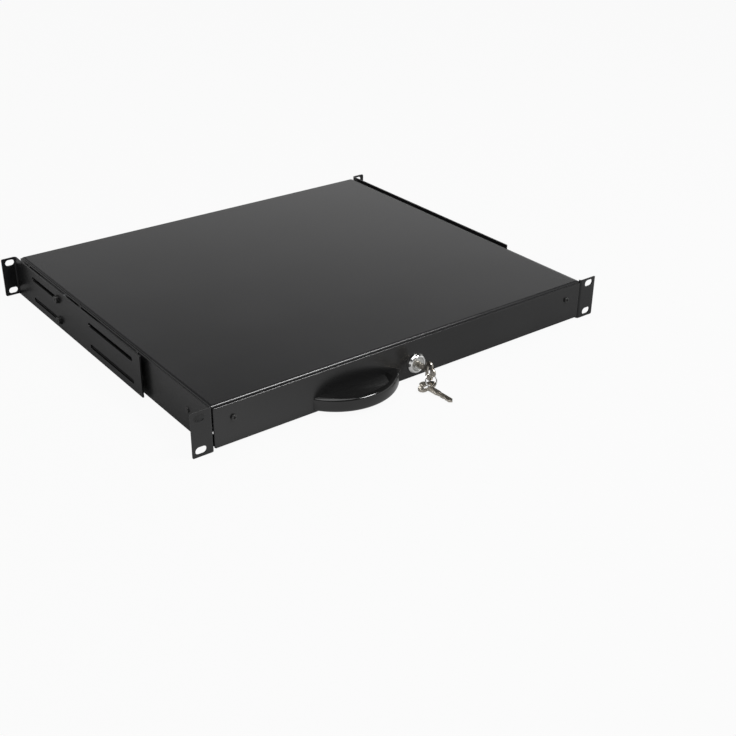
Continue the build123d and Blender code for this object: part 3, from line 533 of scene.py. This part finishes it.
finished(lock_barrel(), "lock_bezel_and_barrel", lock_chrome, "tray", ["lock_housing"])
finished(lock_core(), "lock_core", plug_chrome, "lock_plug", ["lock_plug"])


# Keys: a clover bow with an oblong hole, a milled and cut blade


def cut_key():
    """The key lying flat with its shoulder at the origin and its bow towards -Y."""
    key = disc(5.65, KEY_THICKNESS, (0.0, -KEY_HOLE_AT, 0.0))
    for x, y in ((-5.4, -KEY_HOLE_AT), (5.4, -KEY_HOLE_AT), (0.0, -19.3)):
        cut(key, disc(KEY_LOBE_RADIUS, KEY_THICKNESS, (x, y, 0.0)), "UNION")
    cut(key, block((5.95, 12.2, KEY_THICKNESS), (0.0, -6.1, 0.0)), "UNION")
    blade = block((4.75, 17.9, KEY_THICKNESS), (0.0, 8.95, 0.0))
    editing(blade)
    choose(blade, "edges", lambda edge: all(vert.co.y > 17.0 * MM for vert in edge.verts)
           and abs(edge.verts[0].co.z - edge.verts[1].co.z) > MM)
    bpy.ops.mesh.bevel(offset=2.1 * MM, segments=1)
    placed()
    cut(key, blade, "UNION")
    for x in (-2.5, 2.5):
        cut(key, disc(2.05, CUT_THROUGH, (x, -KEY_HOLE_AT, 0.0), sides=40))
    cut(key, block((5.0, 4.1, CUT_THROUGH), (0.0, -KEY_HOLE_AT, 0.0)))
    for index, depth in enumerate(KEY_NOTCH_DEPTHS):
        notch = block((2.4 * depth, 2.4 * depth, CUT_THROUGH), (0.0, 0.0, 0.0))
        place = mm(2.38 + 0.7 * depth, KEY_NOTCH_PITCH * (index + 1), 0.0)
        notch.matrix_world = Matrix.Translation(place) @ turn(45.0, "Z")
        cut(key, notch)
    for side in (-1, 1):
        cut(key, block((1.0, 16.0, 0.9), (-0.8 * side, 7.0, side * KEY_THICKNESS / 2)))
        cut(key, block((0.5, 16.0, 0.6), (0.9 * side, 7.0, side * KEY_THICKNESS / 2)))
    applied(
        key, "BEVEL", width=KEY_ROUND * MM, segments=2, limit_method="ANGLE",
        angle_limit=math.radians(40.0),
    )
    return key


def turn(degrees, axis):
    return Matrix.Rotation(math.radians(degrees), 4, axis)


def ring_point(down):
    lean = math.radians(RING_LEAN)
    return mm(RING_TOP[0], RING_TOP[1] - down * math.sin(lean), RING_TOP[2] - down * math.cos(lean))


key_in_lock = cut_key()
only(key_in_lock)
bpy.ops.object.duplicate()
key_on_ring = bpy.context.object
key_in_lock.matrix_world = Matrix.Translation(mm(0.0, KEY_SHOULDER, LOCK_Z)) @ turn(90.0, "Y")
spare_turn = turn(2.5, "X") @ turn(-5.0, "Y") @ turn(4.0, "Z") @ turn(180.0, "Z")
key_on_ring.matrix_world = (
    Matrix.Translation(ring_point(RING_RADIUS + 3.9))
    @ Matrix.Translation(mm(-6.5, 0.0, 0.0))
    @ spare_turn
    @ Matrix.Translation(mm(0.0, KEY_HOLE_AT, 0.0))
)
finished(key_in_lock, "key_in_lock", key_nickel, "key", ["key"])
finished(key_on_ring, "key_on_ring", key_nickel, "spare_key", ["spare_key"])


# Split ring: one wire wound twice


def split_ring():
    section = []
    for step in range(WIRE_SIDES):
        angle = 2 * math.pi * step / WIRE_SIDES
        out = RING_RADIUS + WIRE_HALF_WIDTH * math.cos(angle)
        section.append((out, 0.0, -0.5 + WIRE_HALF_HEIGHT * math.sin(angle)))
    wire = traced([*section, section[0]])
    editing(wire)
    bpy.ops.mesh.select_all(action="SELECT")
    bpy.ops.mesh.remove_doubles(threshold=MERGE_DISTANCE)
    placed()
    applied(
        wire, "SCREW", axis="Z", angle=math.radians(WIRE_TURN), screw_offset=WIRE_RISE * MM,
        iterations=1, steps=WIRE_STEPS, render_steps=WIRE_STEPS, use_normal_calculate=True,
    )
    editing(wire)
    bpy.ops.mesh.select_all(action="SELECT")
    bpy.ops.mesh.fill_holes(sides=WIRE_SIDES)
    bpy.ops.mesh.normals_make_consistent(inside=False)
    placed()
    return wire


ring = split_ring()
ring.matrix_world = Matrix.Translation(ring_point(RING_RADIUS)) @ turn(90.0 - RING_LEAN, "X")
finished(ring, "split_ring", ring_wire, "key_ring", ["key_ring"])


# Floor, light and camera

floor_height = cad_box[0].z
bpy.ops.mesh.primitive_plane_add(size=14.0, location=(0.0, 0.0, floor_height))
floor = bpy.context.object
floor.name = "studio_floor"


def studio_paper():
    """White paper. Camera and reflections see it white; close round the object reflections see a painted
    shade of the grey paper, lighter in front and most at its front-left corner.
    """
    paper = Finish("studio_paper", Roughness=0.9, Specular_IOR_Level=0.0)
    paper.set(Base_Color=paper.blend(paper.noise(3.0), (0.27, 0.27, 0.27), (0.3, 0.3, 0.3)))
    camera_ray, glossy_ray, passing_ray = (
        paper.node("ShaderNodeLightPath", output=name)
        for name in ("Is Camera Ray", "Is Glossy Ray", "Is Transmission Ray")
    )
    split = {"Vector": paper.place}
    x, y = (paper.node("ShaderNodeSeparateXYZ", values=split, output=name) for name in "XY")
    spread = {"Vector": paper.place, "Location": (0.0, -0.65, 0.0), "Scale": (3.0, 3.2, 0.0)}
    reach = paper.node(
        "ShaderNodeVectorMath", {"operation": "LENGTH"},
        {0: paper.node("ShaderNodeMapping", values=spread)}, output="Value",
    )
    # Painted shadow for reflections of the floor: close round the object they see little of the glow, so the
    # grey paper shows as painted shade. It is lighter ahead of the object, and much lighter at its
    # front-left corner as painted light. It fades out farther away.
    far = reach.over(1.0, 2.2)
    painted_light_corner = (1.0 - x.over(-0.24, 0.1)) * (1.0 - y.over(-0.015, 0.01))
    painted_light_ahead = (1.0 - y.over(-0.015, 0.01)) * 0.12
    painted_shade_near = painted_light_corner * 0.78 + painted_light_ahead + 0.06
    reflected_glow_with_painted_shade = painted_shade_near + far * (1.0 - painted_shade_near)
    seen = camera_ray.maths("MINIMUM", camera_ray + (glossy_ray + passing_ray) * reflected_glow_with_painted_shade, 1.0)
    paper.shade_between(seen * 0.94, paper.node("ShaderNodeEmission"))
    paper.material.cycles.emission_sampling = "NONE"
    return paper.material


floor.data.materials.append(studio_paper())


def softbox(name, place, target, size, watts):
    data = bpy.data.lights.new(name, "AREA")
    data.shape = "RECTANGLE"
    data.size, data.size_y = size
    data.energy = watts
    lamp = bpy.data.objects.new(name, data)
    bpy.context.scene.collection.objects.link(lamp)
    lamp.location = place
    lamp.rotation_euler = (Vector(target) - Vector(place)).to_track_quat("-Z", "Y").to_euler()
    return lamp


softbox("overhead_softbox", (-0.6, 0.2, 2.2), (0.0, 0.15, 0.0), (2.4, 2.4), 44.0)
softbox("front_strip", (0.66, -0.8, 1.4), (-0.1, 0.0, 0.0), (0.7, 0.32), 26.0)


def studio_world():
    """A white horizon that falls off to a dim ceiling, a little brighter behind on the right."""
    world = bpy.data.worlds.new("studio")
    bpy.context.scene.world = world
    world.use_nodes = True
    tree = world.node_tree
    direction = tree.nodes.new("ShaderNodeTexCoord")
    parts = tree.nodes.new("ShaderNodeSeparateXYZ")
    tree.links.new(direction.outputs["Generated"], parts.inputs[0])
    falloff = tree.nodes.new("ShaderNodeValToRGB")
    stops = falloff.color_ramp.elements
    levels = ((0.17, 0.95), (0.342, 0.56), (0.423, 0.34), (0.5, 0.15), (0.6, 0.04))
    while len(stops) < len(levels):
        stops.new(1.0)
    for stop, (height, level) in zip(stops, levels):
        stop.position = height
        stop.color = (level, level, level, 1.0)
    tree.links.new(parts.outputs["Z"], falloff.inputs[0])
    sideways = tree.nodes.new("ShaderNodeMapRange")
    for name, value in (("From Min", 0.2), ("From Max", 0.7), ("To Min", 0.8), ("To Max", 1.2)):
        sideways.inputs[name].default_value = value
    tree.links.new(parts.outputs["X"], sideways.inputs["Value"])
    background = tree.nodes["Background"]
    tree.links.new(falloff.outputs[0], background.inputs["Color"])
    tree.links.new(sideways.outputs[0], background.inputs["Strength"])


studio_world()

camera_data = bpy.data.cameras.new("camera")
camera = bpy.data.objects.new("camera", camera_data)
bpy.context.scene.collection.objects.link(camera)
azimuth, fall, roll = (math.radians(angle) for angle in (37.664661, 28.248401, -0.702757))
forward = Vector((math.sin(azimuth) * math.cos(fall), math.cos(azimuth) * math.cos(fall), -math.sin(fall)))
level = Vector((math.cos(azimuth), -math.sin(azimuth), 0.0))
down = forward.cross(level)
across = level * math.cos(roll) + down * math.sin(roll)
under = down * math.cos(roll) - level * math.sin(roll)
camera.matrix_world = Matrix.Translation((-0.622008, -0.733444, 0.503608)) @ Matrix(
    (across, -under, -forward)
).transposed().to_4x4()
camera_data.lens = 56.31
camera_data.sensor_width = 36.0
camera_data.clip_start = 0.01
camera_data.clip_end = 60.0
camera_data.dof.use_dof = False
bpy.context.scene.camera = camera
bpy.context.scene.view_settings.view_transform = "Standard"
